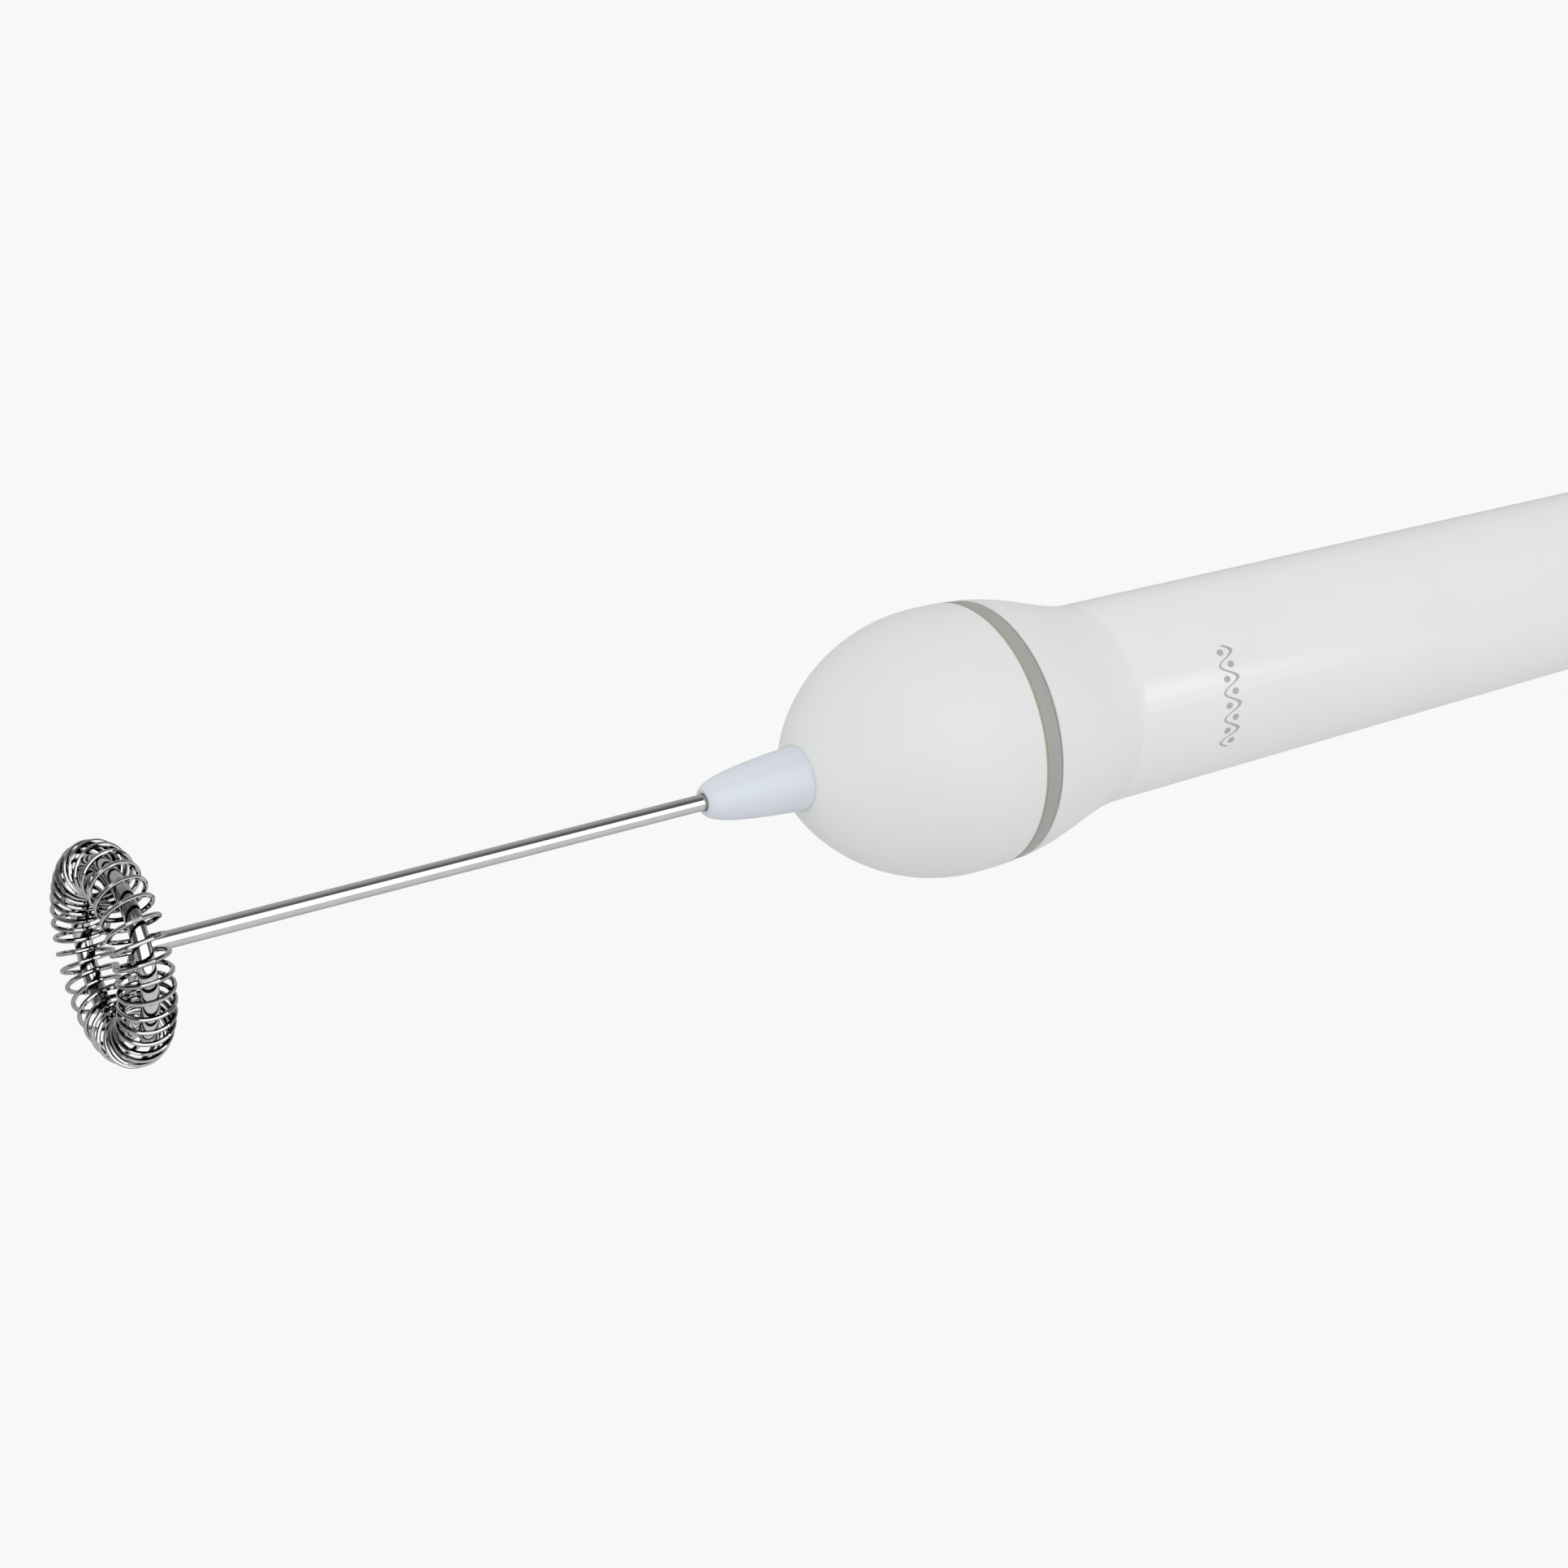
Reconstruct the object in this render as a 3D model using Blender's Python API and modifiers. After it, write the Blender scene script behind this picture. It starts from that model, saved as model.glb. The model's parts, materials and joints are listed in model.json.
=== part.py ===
"""A battery-powered milk frother, lying on its side with its whisk towards -X.

Every piece is drawn round one long axis. Its station, the distance along that axis from the
whisk ring towards the tail, is the piece's local Z, and an empty lays the axis down so that
the egg-shaped head and the tail both touch the ground. Angles run round the axis from the
top towards the front side, which is -Y.
"""

import math

import bmesh
import bpy
from mathutils import Matrix, Vector

MM = 0.001
GAP = 0.3  # clearance kept between neighbouring pieces

# Driving dimensions, in millimetres. Names ending in _AT are stations along the axis.
SIDES = 40  # facets round a large turned piece; a flat one faces the ground
MIDDLE_SIDES = 32
FINE_SIDES = 20

# Whisk: one wire makes the rod, a spoke and an open ring, and a coil sits on the ring.
WIRE_RADIUS = 1.0
WIRE_BEND_RADIUS = 2.3  # to the middle of the wire, at both of its bends
ROD_END_AT = 84.5
SPOKE_ANGLE = 166.0
SPOKE_AT = 2.3
RING_RADIUS = 9.85
RING_AT = 0.15
RING_END_ANGLE = 124.0
RING_SETTLES_IN = 12.0  # length of wire over which the spoke's station turns into the ring's
COIL_CENTRE_RADIUS = 9.33
COIL_RADIUS = 2.9  # from the middle of the coil's tube to the middle of its wire
COIL_WIRE_RADIUS = 0.265
COIL_TURNS = 35
COIL_START_ANGLE = 166.0
COIL_PITCH_ANGLE = 10.15  # degrees round the ring for each turn, on average
COIL_UNEVEN_ANGLE = 3.8  # the coil is stretched on two sides and bunched on the other two
COIL_EVEN_ANGLE = 26.0
COIL_PARTING = 11.0  # degrees by which the spoke pushes the turns beside it apart
COIL_PARTING_FADES_IN = 14.3  # degrees from the spoke
COIL_PARTING_ROLL = 146.5  # where on a turn the spoke passes

# Head and handle
NOZZLE_TIP_AT = 73.2
NOZZLE_BASE_AT = 87.3
NOZZLE_BASE_RADIUS = 4.05
NOZZLE_ROUNDNESS = 0.24  # power of the share of its length that gives the share of its radius
NOZZLE_FLANGE_RADIUS = 6.0
NOZZLE_FLANGE_AT = 90.7
NOZZLE_END_AT = 92.0
NOZZLE_BORE_AT = 79.0  # where its bore widens for the coupling
NOZZLE_BORE_RADIUS = 3.2
NOSE_TIP_AT = 85.07
NOSE_OPENING_AT = 86.9
NOSE_WALL_AT = 89.3  # inner end of the opening's wall
EGG_WIDEST_AT = 108.5
EGG_RADIUS = 16.8
EGG_SPIGOT_RADIUS = 14.5  # of the neck collar's front end, inside the nose shell
EGG_SPIGOT_BORE = 13.1
EGG_SPIGOT_AT = 107.5
ACCENT_AT = 111.75
ACCENT_WIDTH = 2.65
CREASE_AT = 131.0
CREASE_RADIUS = 12.91
HANDLE_TAPER = 0.0086  # radius lost for each millimetre of handle
HANDLE_BORE = 11.0
WALL = 2.0

# Motor and drive
MOTOR_AT = 95.0
MOTOR_LENGTH = 20.0
MOTOR_RADIUS = 10.05
MOTOR_WALL = 0.8
MAGNET_RADIUS = 8.9
MAGNET_BORE = 7.2
ARMATURE_RADIUS = 6.6
COMMUTATOR_RADIUS = 2.6
COUPLING_RADIUS = 2.7
COUPLING_AT = 80.5
COUPLING_END_AT = 91.6
SHAFT_RADIUS = 1.0
SHAFT_AT = 85.5
SHAFT_END_AT = 119.3
BORE_RADIUS = SHAFT_RADIUS + GAP
ARMATURE_AT = 99.0
ARMATURE_END_AT = 112.0
ARMATURE_SLOT_WIDTH = 5.0
ARMATURE_SLOT_DEPTH = 1.4
COMMUTATOR_AT = 113.0
COMMUTATOR_END_AT = 116.5
BEARING_RADIUS = 3.0
BEARING_AT = 93.3
BEARING_END_AT = 97.0
MAGNET_AT = 97.5
MAGNET_END_AT = 113.0
MAGNET_SPLIT = 2.0  # half the width of the gap between the two magnets
BRUSH_AT = 113.0
BRUSH_END_AT = 118.0
TERMINAL_AT = 120.1
TERMINAL_END_AT = 122.5
MOTOR_TAB_WIDTH = 2.4  # of each brush and terminal
HOLDER_RADIUS = 11.4
HOLDER_FLANGE_RADIUS = 12.8

# Cells, cradle and contacts
CRADLE_AT = 124.2
CRADLE_END_AT = 229.0
CRADLE_RADIUS = 9.0
CELL_RADIUS = 7.25
CELL_LENGTH = 50.5
CELL_NUB_LENGTH = 1.0
CELL_NUB_RADIUS = 2.75
CELL_FRONT_AT = 126.2
CELL_REAR_AT = CELL_FRONT_AT + CELL_LENGTH + GAP
CELLS_END_AT = CELL_REAR_AT + CELL_LENGTH
STRIP_AT = 121.5
STRIP_END_AT = 232.2
LEAD_RADIUS = 0.3

# Tail cap, switch and button
CAP_AT = 230.3
CAP_END_AT = 243.0
CAP_EDGE_RADIUS = 1.2
SPIGOT_AT = 223.0  # front end of the tail cap's spigot
NECK_SPIGOT_END_AT = 137.0  # rear end of the neck collar's spigot
SPIGOT_RADIUS = HANDLE_BORE - GAP
SPIGOT_BORE = 10.0
CAP_SHOULDER_AT = 232.6  # the shoulder that the contact carrier rests on
CAP_BORE = 9.4
CAP_FACE_AT = 241.1  # inner side of the cap's end wall
CARRIER_AT = 233.0
CARRIER_END_AT = 234.6
CARRIER_RADIUS = 9.1
SWITCH_AT = CARRIER_END_AT + GAP
SWITCH_END_AT = SWITCH_AT + 0.5
BATTERY_SPRING_LENGTH = 4.2
BUTTON_RADIUS = 6.0
BUTTON_PROUD = 2.6
BUTTON_TRAVEL = 2.0
BUTTON_FLANGE_RADIUS = 9.0
BUTTON_FLANGE_AT = 239.6
BUTTON_FLANGE_END_AT = CAP_FACE_AT - GAP
BUTTON_STEM_RADIUS = 2.0
BUTTON_STEM_AT = 238.5


def body_radius(station):
    """Outer radius of the egg, neck and handle, which share one smooth outline."""
    if station < EGG_WIDEST_AT:
        ahead = (EGG_WIDEST_AT - station) / (EGG_WIDEST_AT - NOSE_TIP_AT)
        return EGG_RADIUS * (1 - ahead**2.1) ** 0.7
    if station < CREASE_AT:
        behind = (station - EGG_WIDEST_AT) / (CREASE_AT - EGG_WIDEST_AT)
        drop = (1 - math.cos(math.pi * behind**1.35)) / 2
        return EGG_RADIUS + (CREASE_RADIUS - EGG_RADIUS) * drop
    return CREASE_RADIUS - HANDLE_TAPER * (station - CREASE_AT)


def spaced(first, last, count):
    """Evenly spaced numbers from first to last, ends included."""
    return [first + (last - first) * i / (count - 1) for i in range(count)]


def around(radius, angle, station):
    """A point at an angle round the axis."""
    turn = math.radians(angle)
    return Vector((radius * math.cos(turn), radius * math.sin(turn), station))


def lying_down():
    """The matrix that lays the axis on the ground and centres the whole length on the origin."""
    flat = math.cos(math.pi / SIDES)
    tail = (body_radius(CAP_END_AT - CAP_EDGE_RADIUS), CAP_END_AT - CAP_EDGE_RADIUS)
    drop = (EGG_RADIUS - tail[0]) * flat
    tilt = math.atan(drop / (tail[1] - EGG_WIDEST_AT))
    near_widest = spaced(EGG_WIDEST_AT - 4.5, EGG_WIDEST_AT + 7.5, 25)
    rings = [(body_radius(s), s) for s in near_widest] + [tail]
    height = max(s * math.sin(tilt) + r * flat * math.cos(tilt) for r, s in rings)
    front = -(COIL_RADIUS + COIL_WIRE_RADIUS) - COIL_CENTRE_RADIUS * math.sin(tilt)
    back = (CAP_END_AT + BUTTON_PROUD) * math.cos(tilt) + BUTTON_RADIUS * math.sin(tilt)
    place = Matrix.Translation(Vector((-(front + back) / 2, 0, height)) * MM)
    up = Vector((math.sin(tilt), 0, math.cos(tilt)))
    along = Vector((math.cos(tilt), 0, -math.sin(tilt)))
    turn = Matrix((up, Vector((0, -1, 0)), along)).transposed()
    return place @ turn.to_4x4()


def clear_scene():
    for old in list(bpy.data.objects):
        bpy.data.objects.remove(old)


def new_collection(name):
    made = bpy.data.collections.new(name)
    bpy.context.scene.collection.children.link(made)
    return made


def new_material(name, colour, roughness, metallic=0.0):
    made = bpy.data.materials.new(name)
    made.use_nodes = True
    shader = made.node_tree.nodes["Principled BSDF"]
    shader.inputs["Base Color"].default_value = (*colour, 1)
    shader.inputs["Roughness"].default_value = roughness
    shader.inputs["Metallic"].default_value = metallic
    return made


def add_node(name, data, material, spin=0.0):
    """A named piece on the frother's axis, turned by spin degrees about it."""
    data.materials.append(material)
    made = bpy.data.objects.new(name, data)
    parts.objects.link(made)
    made.parent = axis
    made.rotation_euler.z = math.radians(spin)
    return made


def outline_mesh(name, outline, closed):
    """An edge outline of (radius, station) points, for a Screw modifier to turn."""
    shape = bmesh.new()
    points = [shape.verts.new((r * MM, 0, s * MM)) for r, s in outline]
    pairs = list(zip(points, points[1:]))
    if closed:
        pairs.append((points[-1], points[0]))
    for pair in pairs:
        shape.edges.new(pair)
    mesh = bpy.data.meshes.new(name)
    shape.to_mesh(mesh)
    shape.free()
    return mesh


def turned(name, outline, material, sides=SIDES):
    """A turned piece. Its outline runs from tail to nose on the outside and back inside."""
    closed = outline[0][0] > 0
    mesh = outline_mesh(name, outline, closed)
    made = add_node(name, mesh, material, spin=180 / sides)
    screw = made.modifiers.new("Turn", "SCREW")
    screw.axis = "Z"
    screw.angle = math.tau
    screw.steps = sides
    screw.render_steps = sides
    screw.use_merge_vertices = True
    screw.merge_threshold = 1e-6
    screw.use_smooth_shade = True
    return made


def sleeve(name, radius, bore, first, last, material, sides=FINE_SIDES):
    """A plain tube from station first to station last."""
    outline = [(radius, last), (radius, first), (bore, first), (bore, last)]
    return turned(name, outline, material, sides)


def wire(name, points, radius, material, roundness=2):
    """A round wire through points given in millimetres in the axis frame."""
    curve = bpy.data.curves.new(name, "CURVE")
    curve.dimensions = "3D"
    curve.bevel_depth = radius * MM
    curve.bevel_resolution = roundness
    curve.use_fill_caps = True
    spline = curve.splines.new("POLY")
    spline.points.add(len(points) - 1)
    for place, point in zip(spline.points, points):
        place.co = (*(Vector(point) * MM), 1)
    return add_node(name, curve, material)


def smooth_path(points, steps):
    """A Catmull-Rom curve through points, with steps pieces between each two."""
    known = [Vector(p) for p in points]
    known = [2 * known[0] - known[1], *known, 2 * known[-1] - known[-2]]
    path = []
    for a, b, c, d in zip(known, known[1:], known[2:], known[3:]):
        for i in range(steps):
            t = i / steps
            bend = (2 * a - 5 * b + 4 * c - d) * t**2 + (3 * b - 3 * c + d - a) * t**3
            path.append(0.5 * (2 * b + (c - a) * t + bend))
    return path + [known[-2]]


def block(name, centre, size, material):
    """A rectangular piece, centre and size in millimetres in the axis frame."""
    shape = bmesh.new()
    bmesh.ops.create_cube(shape, size=MM)
    bmesh.ops.scale(shape, vec=size, verts=shape.verts)
    bmesh.ops.translate(shape, vec=Vector(centre) * MM, verts=shape.verts)
    mesh = bpy.data.meshes.new(name)
    shape.to_mesh(mesh)
    shape.free()
    return add_node(name, mesh, material)


def cut(piece, cutter, operation="DIFFERENCE"):
    """Cuts a piece by a block, which is kept out of the model as a helper."""
    parts.objects.unlink(cutter)
    cutters.objects.link(cutter)
    cutter.hide_render = True
    cutter.display_type = "WIRE"
    boolean = piece.modifiers.new(cutter.name, "BOOLEAN")
    boolean.operation = operation
    boolean.object = cutter


def whisk_wire_path():
    """The whisk wire's middle line: rod, elbow, spoke out to the ring, bend and open ring."""
    bend = WIRE_BEND_RADIUS
    path = [Vector((0, 0, ROD_END_AT))]
    for turn in spaced(0, 90, 7):
        out = bend * (1 - math.cos(math.radians(turn)))
        back = bend * (1 - math.sin(math.radians(turn)))
        path.append(around(out, SPOKE_ANGLE, SPOKE_AT + back))
    elbow_end = len(path)
    lead = math.degrees(math.asin(bend / (RING_RADIUS - bend)))
    centre = around(RING_RADIUS - bend, SPOKE_ANGLE + lead, SPOKE_AT)
    for turn in spaced(SPOKE_ANGLE - 90, SPOKE_ANGLE + lead, 9):
        path.append(centre + around(bend, turn, 0))
    for angle in spaced(SPOKE_ANGLE + lead, RING_END_ANGLE + 360, 40)[1:]:
        path.append(around(RING_RADIUS, angle, SPOKE_AT))
    travelled = 0.0
    for before, point in zip(path[elbow_end - 1 :], path[elbow_end:]):
        travelled += (point.xy - before.xy).length
        share = min(1.0, travelled / RING_SETTLES_IN)
        point.z = SPOKE_AT + (RING_AT - SPOKE_AT) * share * share * (3 - 2 * share)
    return path


def coil_point(turns):
    """A point on the middle line of the coil's wire, after a number of turns from its start."""
    even = COIL_START_ANGLE - COIL_PITCH_ANGLE * turns
    angle = even + COIL_UNEVEN_ANGLE * math.sin(math.radians(2 * (even - COIL_EVEN_ANGLE)))
    roll = math.tau * turns
    beside = max(0.0, math.cos(roll - math.radians(COIL_PARTING_ROLL))) ** 2
    away = (angle - SPOKE_ANGLE + 180) % 360 - 180
    parting = COIL_PARTING * math.exp(-abs(away) / COIL_PARTING_FADES_IN) * beside
    angle += math.copysign(parting, away)
    radius = COIL_CENTRE_RADIUS + COIL_RADIUS * math.cos(roll)
    return around(radius, angle, COIL_RADIUS * math.sin(roll))


def whisk():
    """The bent wire, and the coil that parts round its spoke."""
    wire("whisk_wire", whisk_wire_path(), WIRE_RADIUS, steel, roundness=3)
    per_turn = 8
    points = [coil_point(i / per_turn) for i in range(COIL_TURNS * per_turn + 1)]
    wire("whisk_coil", points, COIL_WIRE_RADIUS, coil_steel)


def nozzle():
    """A tapering guide with a rounded tip and a flange behind the nose's front wall."""
    length = NOZZLE_BASE_AT - NOZZLE_TIP_AT
    taper = []
    for share in (1, 0.7, 0.45, 0.22, 0.08, 0.02):
        radius = NOZZLE_BASE_RADIUS * share**NOZZLE_ROUNDNESS
        taper.append((radius, NOZZLE_TIP_AT + length * share))
    flange = [(NOZZLE_FLANGE_RADIUS, NOZZLE_END_AT), (NOZZLE_FLANGE_RADIUS, NOZZLE_FLANGE_AT)]
    flange.append((NOZZLE_BASE_RADIUS, NOZZLE_FLANGE_AT))
    bore = [(BORE_RADIUS, NOZZLE_TIP_AT + 0.2), (BORE_RADIUS, NOZZLE_BORE_AT)]
    bore += [(NOZZLE_BORE_RADIUS, NOZZLE_BORE_AT), (NOZZLE_BORE_RADIUS, NOZZLE_END_AT)]
    turned("nozzle", flange + taper + bore, clear_white, FINE_SIDES)


def nose_shell():
    """The front half of the egg, open round the nozzle."""
    rim = ACCENT_AT - GAP / 2
    outside = [(body_radius(s), s) for s in (rim, EGG_WIDEST_AT)]
    outside += [(body_radius(s), s) for s in (104, 100, 96, 92.5, 89.6, NOSE_OPENING_AT)]
    opening = NOZZLE_BASE_RADIUS + GAP
    inside = [(opening, NOSE_OPENING_AT), (opening, NOSE_WALL_AT)]
    inside += [(body_radius(s - WALL) - GAP, s) for s in (91, 94, 98, 103)]
    rim_bore = EGG_SPIGOT_RADIUS + GAP
    inside += [(rim_bore, 107), (rim_bore, rim)]
    turned("nose_shell", outside + inside, satin_white)


def accent_ring():
    """The grey band between the two halves of the egg, a hair below their surface."""
    sunk = 0.05
    first, last = ACCENT_AT + GAP / 2, ACCENT_AT + ACCENT_WIDTH - GAP / 2
    outside = [(body_radius(s) - sunk, s) for s in (last, first)]
    bore = EGG_SPIGOT_RADIUS + GAP
    turned("accent_ring", outside + [(bore, first), (bore, last)], band_grey)


def neck_collar():
    """The rear half of the egg, with a spigot into each of its neighbours."""
    front = ACCENT_AT + ACCENT_WIDTH + GAP / 2
    outside = [(SPIGOT_RADIUS, NECK_SPIGOT_END_AT), (SPIGOT_RADIUS, CREASE_AT)]
    outside += [(body_radius(s), s) for s in [CREASE_AT] + spaced(128.5, 118, 5) + [front]]
    spigot = [(EGG_SPIGOT_RADIUS, front), (EGG_SPIGOT_RADIUS, EGG_SPIGOT_AT)]
    spigot += [(EGG_SPIGOT_BORE, EGG_SPIGOT_AT), (EGG_SPIGOT_BORE, 116)]
    inside = [(body_radius(s) - WALL, s) for s in (120, 124, 128)]
    inside += [(SPIGOT_BORE, 130.5), (SPIGOT_BORE, NECK_SPIGOT_END_AT)]
    turned("neck_collar", outside + spigot + inside, satin_white)


def handle_tube():
    first, last = CREASE_AT + GAP, CAP_AT - GAP
    outside = [(body_radius(s), s) for s in (last, first)]
    turned("handle_tube", outside + [(HANDLE_BORE, first), (HANDLE_BORE, last)], gloss_white)


def drive():
    """The rod's coupling and the motor's turning pieces."""
    span = (COUPLING_AT, COUPLING_END_AT)
    sleeve("drive_coupling", COUPLING_RADIUS, BORE_RADIUS, *span, grey_plastic)
    shaft = [(0, SHAFT_END_AT), (SHAFT_RADIUS, SHAFT_END_AT), (SHAFT_RADIUS, SHAFT_AT)]
    turned("motor_shaft", shaft + [(0, SHAFT_AT)], steel, FINE_SIDES)
    span = (COMMUTATOR_AT, COMMUTATOR_END_AT)
    sleeve("motor_commutator", COMMUTATOR_RADIUS, BORE_RADIUS, *span, copper)
    span = (ARMATURE_AT, ARMATURE_END_AT)
    armature = sleeve("motor_armature", ARMATURE_RADIUS, BORE_RADIUS, *span, dark_iron)
    middle = (ARMATURE_AT + ARMATURE_END_AT) / 2
    size = (2 * ARMATURE_SLOT_DEPTH, ARMATURE_SLOT_WIDTH, ARMATURE_END_AT - ARMATURE_AT + 2)
    for number in range(3):
        angle = 120 * number + 60
        slot = block(f"armature_slot_{number}", (0, 0, middle), size, dark_iron)
        slot.rotation_euler.z = math.radians(angle)
        slot.location = around(ARMATURE_RADIUS, angle, 0) * MM
        cut(armature, slot)


def motor():
    """The motor's fixed pieces: can, bearing, magnets, end cap, brushes and terminals."""
    back = MOTOR_AT + MOTOR_LENGTH
    inner = MOTOR_RADIUS - MOTOR_WALL
    hole = BEARING_RADIUS + GAP
    can = [(MOTOR_RADIUS, back), (MOTOR_RADIUS, MOTOR_AT), (hole, MOTOR_AT)]
    can += [(hole, MOTOR_AT + MOTOR_WALL), (inner, MOTOR_AT + MOTOR_WALL)]
    turned("motor_can", can + [(inner, back)], steel, MIDDLE_SIDES)
    sleeve("motor_bearing", BEARING_RADIUS, BORE_RADIUS, BEARING_AT, BEARING_END_AT, brass)
    span = (MAGNET_AT, MAGNET_END_AT)
    middle = (MAGNET_AT + MAGNET_END_AT) / 2
    height = MAGNET_RADIUS + 1 - MAGNET_SPLIT
    for name, side in (("motor_magnet_upper", 1), ("motor_magnet_lower", -1)):
        magnet = sleeve(name, MAGNET_RADIUS, MAGNET_BORE, *span, dark_iron, MIDDLE_SIDES)
        centre = (side * (MAGNET_SPLIT + height / 2), 0, middle)
        half = block(name + "_half", centre, (height, 20.0, 20.0), dark_iron)
        cut(magnet, half, "INTERSECT")
    cap_front = back + GAP
    cap_inner = cap_front + 3.0
    cap_back = cap_front + 4.5
    cap_bore = MOTOR_RADIUS - 1.05
    cap = [(MOTOR_RADIUS, cap_back), (MOTOR_RADIUS, cap_front), (cap_bore, cap_front)]
    cap += [(cap_bore, cap_inner), (BORE_RADIUS, cap_inner), (BORE_RADIUS, cap_back)]
    turned("motor_end_cap", cap, grey_plastic, MIDDLE_SIDES)
    for name, side in (("left", -1), ("right", 1)):
        centre = (0, side * 3.2, (BRUSH_AT + BRUSH_END_AT) / 2)
        size = (MOTOR_TAB_WIDTH, 0.4, BRUSH_END_AT - BRUSH_AT)
        block("motor_brush_" + name, centre, size, brass)
        centre = (0, side * 6.0, (TERMINAL_AT + TERMINAL_END_AT) / 2)
        size = (MOTOR_TAB_WIDTH, 0.5, TERMINAL_END_AT - TERMINAL_AT)
        block("motor_terminal_" + name, centre, size, brass)


def motor_holder():
    """A sleeve round the motor with a flange inside the neck collar's spigot."""
    first, last = 99.0, 120.2
    flange_first, flange_last = 109.0, 111.0
    outline = [(HOLDER_RADIUS, last), (HOLDER_RADIUS, flange_last)]
    outline += [(HOLDER_FLANGE_RADIUS, flange_last), (HOLDER_FLANGE_RADIUS, flange_first)]
    outline += [(HOLDER_RADIUS, flange_first), (HOLDER_RADIUS, first)]
    outline += [(MOTOR_RADIUS + GAP, first), (MOTOR_RADIUS + GAP, last)]
    turned("motor_holder", outline, grey_plastic, MIDDLE_SIDES)


def battery_cradle():
    """A tray open at the top, with a front wall that carries the plus contact."""
    inner = CELL_RADIUS + 0.45
    floor_at = CRADLE_AT + 1.0
    rivet_hole = 1.5
    outline = [(CRADLE_RADIUS, CRADLE_END_AT), (CRADLE_RADIUS, CRADLE_AT)]
    outline += [(rivet_hole, CRADLE_AT), (rivet_hole, floor_at)]
    outline += [(inner, floor_at), (inner, CRADLE_END_AT)]
    cradle = turned("battery_cradle", outline, grey_plastic, MIDDLE_SIDES)
    opening = block("cradle_opening", (7.5, 0, 176.5), (11.0, 22.0, 98.0), grey_plastic)
    cut(cradle, opening)


def batteries():
    """Two cells in line, each with a narrower plus end towards the motor."""
    for name, first in (("battery_front", CELL_FRONT_AT), ("battery_rear", CELL_REAR_AT)):
        shoulder = first + CELL_NUB_LENGTH
        last = first + CELL_LENGTH
        outline = [(0, last), (CELL_RADIUS, last), (CELL_RADIUS, shoulder)]
        outline += [(CELL_NUB_RADIUS, shoulder), (CELL_NUB_RADIUS, first), (0, first)]
        turned(name, outline, cell_wrap, MIDDLE_SIDES)


def contacts():
    """The metal pieces that carry the current from the cells to the motor and the switch."""
    head, stem = 4.0, 1.2
    back, shoulder, front = 125.9, 125.5, 123.0
    rivet = [(0, back), (head, back), (head, shoulder), (stem, shoulder)]
    rivet += [(stem, front), (0, front)]
    turned("front_contact", rivet, brass, FINE_SIDES)
    length = STRIP_END_AT - STRIP_AT
    block("contact_strip", (9.5, 0, STRIP_AT + length / 2), (0.3, 3.0, length), brass)
    plus = [(0, 6.7, 121.4), (0, 7.0, 122.4), (0, 6.2, 123.2), (0.2, 4.2, 123.5), (0, 1.7, 123.4)]
    wire("lead_wire_plus", smooth_path(plus, 3), LEAD_RADIUS, red_wire)
    minus = [(0, -6.7, 121.4), (1.5, -7.3, 121.6), (5, -6.4, 121.2)]
    minus += [(8.3, -2.8, 121.6), (9, -2.1, 122)]
    wire("lead_wire_minus", smooth_path(minus, 3), LEAD_RADIUS, black_wire)


def cone_spring(name, first, last, radius_first, radius_last, turns, wire_radius, per_turn):
    """A coil spring between two stations, with its wire kept inside both ends."""
    low, high = first + wire_radius, last - wire_radius
    count = int(turns * per_turn)
    points = []
    for i in range(count + 1):
        share = i / count
        radius = radius_first + (radius_last - radius_first) * share
        points.append(around(radius, 360 * turns * share, low + (high - low) * share))
    wire(name, points, wire_radius, steel)


def tail_contacts():
    """The minus spring, its rivet, their carrier and the switch's fixed ring."""
    first = CELLS_END_AT + GAP
    last = first + BATTERY_SPRING_LENGTH
    cone_spring("battery_spring", first, last, 2.6, 4.4, 3.5, 0.3, 9)
    head, stem, tail = 4.8, 2.5, 4.2
    face = last + GAP
    head_end = face + 0.4
    rivet = [(0, SWITCH_END_AT), (tail, SWITCH_END_AT), (tail, SWITCH_AT), (stem, SWITCH_AT)]
    rivet += [(stem, head_end), (head, head_end), (head, face), (0, face)]
    turned("rear_contact", rivet, brass, FINE_SIDES)
    sleeve("contact_carrier", CARRIER_RADIUS, stem + GAP, CARRIER_AT, CARRIER_END_AT, grey_plastic)
    sleeve("switch_ring", 7.4, 5.0, SWITCH_AT, SWITCH_END_AT, brass)


def end_cap():
    """The tail cap: a spigot into the handle, a shoulder for the carrier and a button hole."""
    edge_at = CAP_END_AT - CAP_EDGE_RADIUS
    edge = Vector((body_radius(edge_at) - CAP_EDGE_RADIUS, edge_at))
    turns = [math.radians(a) for a in (90, 60, 30, 0)]
    outside = [tuple(edge + CAP_EDGE_RADIUS * Vector((math.cos(t), math.sin(t)))) for t in turns]
    outside += [(body_radius(CAP_AT), CAP_AT)]
    outside += [(SPIGOT_RADIUS, CAP_AT), (SPIGOT_RADIUS, SPIGOT_AT)]
    inside = [(SPIGOT_BORE, SPIGOT_AT), (SPIGOT_BORE, CAP_SHOULDER_AT)]
    inside += [(CAP_BORE, CAP_SHOULDER_AT), (CAP_BORE, CAP_FACE_AT)]
    hole = BUTTON_RADIUS + GAP
    turned("end_cap", outside + inside + [(hole, CAP_FACE_AT), (hole, CAP_END_AT)], gloss_white)


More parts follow.
